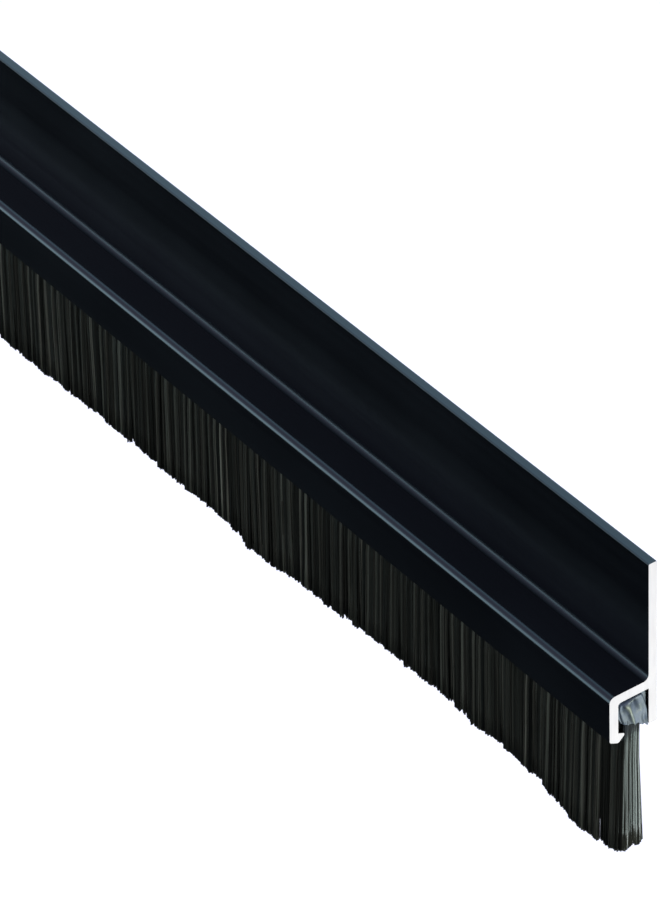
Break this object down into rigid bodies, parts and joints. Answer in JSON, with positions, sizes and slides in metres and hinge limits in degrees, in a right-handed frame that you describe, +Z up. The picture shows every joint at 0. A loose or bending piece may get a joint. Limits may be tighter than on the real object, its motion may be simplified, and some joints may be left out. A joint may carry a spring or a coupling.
{
  "type": "door sweep",
  "caption": "Brush door sweep: an h-shaped black aluminium carrier that screws to a door's face, with a slide-in strip brush of black filaments hanging below it.",
  "frame": {"origin": "on the carrier's back face, at mid-length, on the line of the screw holes", "axes": "+X along the sweep's length, +Y out of the back face towards the door, +Z up, away from the floor"},
  "size_m": [0.9144, 0.008, 0.0475],
  "materials": {
    "black_anodised_aluminium": "black anodised, semi-gloss, with bare sawn ends",
    "galvanised_steel": "galvanised, dull",
    "steel_wire": "drawn wire",
    "black_nylon_filament": "satin"
  },
  "bodies": {
    "carrier": {"carrier": "black_anodised_aluminium"},
    "brush_strip": {"brush_backing": "galvanised_steel", "core_wire": "steel_wire", "bristle_roots": "black_nylon_filament"},
    "bristle_group_01": {"bristles_01": "black_nylon_filament"},
    "bristle_group_02": {"bristles_02": "black_nylon_filament"},
    "bristle_group_03": {"bristles_03": "black_nylon_filament"},
    "bristle_group_04": {"bristles_04": "black_nylon_filament"},
    "bristle_group_05": {"bristles_05": "black_nylon_filament"},
    "bristle_group_06": {"bristles_06": "black_nylon_filament"},
    "bristle_group_07": {"bristles_07": "black_nylon_filament"},
    "bristle_group_08": {"bristles_08": "black_nylon_filament"},
    "bristle_group_09": {"bristles_09": "black_nylon_filament"},
    "bristle_group_10": {"bristles_10": "black_nylon_filament"},
    "bristle_group_11": {"bristles_11": "black_nylon_filament"},
    "bristle_group_12": {"bristles_12": "black_nylon_filament"}
  },
  "joints": [
    {"name": "brush_slide", "type": "slide", "parent": "carrier", "child": "brush_strip", "axis": [1, 0, 0], "range_m": [0, 0.9]},
    {"name": "bristle_flex_01", "type": "hinge", "parent": "brush_strip", "child": "bristle_group_01", "pos_m": [-0.41873, -0.00398, -0.019], "axis": [1, 0, 0], "range_deg": [-35, 35], "stiffness_Nm_per_rad": 0.05},
    {"name": "bristle_flex_02", "type": "hinge", "parent": "brush_strip", "child": "bristle_group_02", "pos_m": [-0.3426, -0.00398, -0.019], "axis": [1, 0, 0], "range_deg": [-35, 35], "stiffness_Nm_per_rad": 0.05},
    {"name": "bristle_flex_03", "type": "hinge", "parent": "brush_strip", "child": "bristle_group_03", "pos_m": [-0.26647, -0.00398, -0.019], "axis": [1, 0, 0], "range_deg": [-35, 35], "stiffness_Nm_per_rad": 0.05},
    {"name": "bristle_flex_04", "type": "hinge", "parent": "brush_strip", "child": "bristle_group_04", "pos_m": [-0.19033, -0.00398, -0.019], "axis": [1, 0, 0], "range_deg": [-35, 35], "stiffness_Nm_per_rad": 0.05},
    {"name": "bristle_flex_05", "type": "hinge", "parent": "brush_strip", "child": "bristle_group_05", "pos_m": [-0.1142, -0.00398, -0.019], "axis": [1, 0, 0], "range_deg": [-35, 35], "stiffness_Nm_per_rad": 0.05},
    {"name": "bristle_flex_06", "type": "hinge", "parent": "brush_strip", "child": "bristle_group_06", "pos_m": [-0.03807, -0.00398, -0.019], "axis": [1, 0, 0], "range_deg": [-35, 35], "stiffness_Nm_per_rad": 0.05},
    {"name": "bristle_flex_07", "type": "hinge", "parent": "brush_strip", "child": "bristle_group_07", "pos_m": [0.03807, -0.00398, -0.019], "axis": [1, 0, 0], "range_deg": [-35, 35], "stiffness_Nm_per_rad": 0.05},
    {"name": "bristle_flex_08", "type": "hinge", "parent": "brush_strip", "child": "bristle_group_08", "pos_m": [0.1142, -0.00398, -0.019], "axis": [1, 0, 0], "range_deg": [-35, 35], "stiffness_Nm_per_rad": 0.05},
    {"name": "bristle_flex_09", "type": "hinge", "parent": "brush_strip", "child": "bristle_group_09", "pos_m": [0.19033, -0.00398, -0.019], "axis": [1, 0, 0], "range_deg": [-35, 35], "stiffness_Nm_per_rad": 0.05},
    {"name": "bristle_flex_10", "type": "hinge", "parent": "brush_strip", "child": "bristle_group_10", "pos_m": [0.26647, -0.00398, -0.019], "axis": [1, 0, 0], "range_deg": [-35, 35], "stiffness_Nm_per_rad": 0.05},
    {"name": "bristle_flex_11", "type": "hinge", "parent": "brush_strip", "child": "bristle_group_11", "pos_m": [0.3426, -0.00398, -0.019], "axis": [1, 0, 0], "range_deg": [-35, 35], "stiffness_Nm_per_rad": 0.05},
    {"name": "bristle_flex_12", "type": "hinge", "parent": "brush_strip", "child": "bristle_group_12", "pos_m": [0.41873, -0.00398, -0.019], "axis": [1, 0, 0], "range_deg": [-35, 35], "stiffness_Nm_per_rad": 0.05}
  ]
}
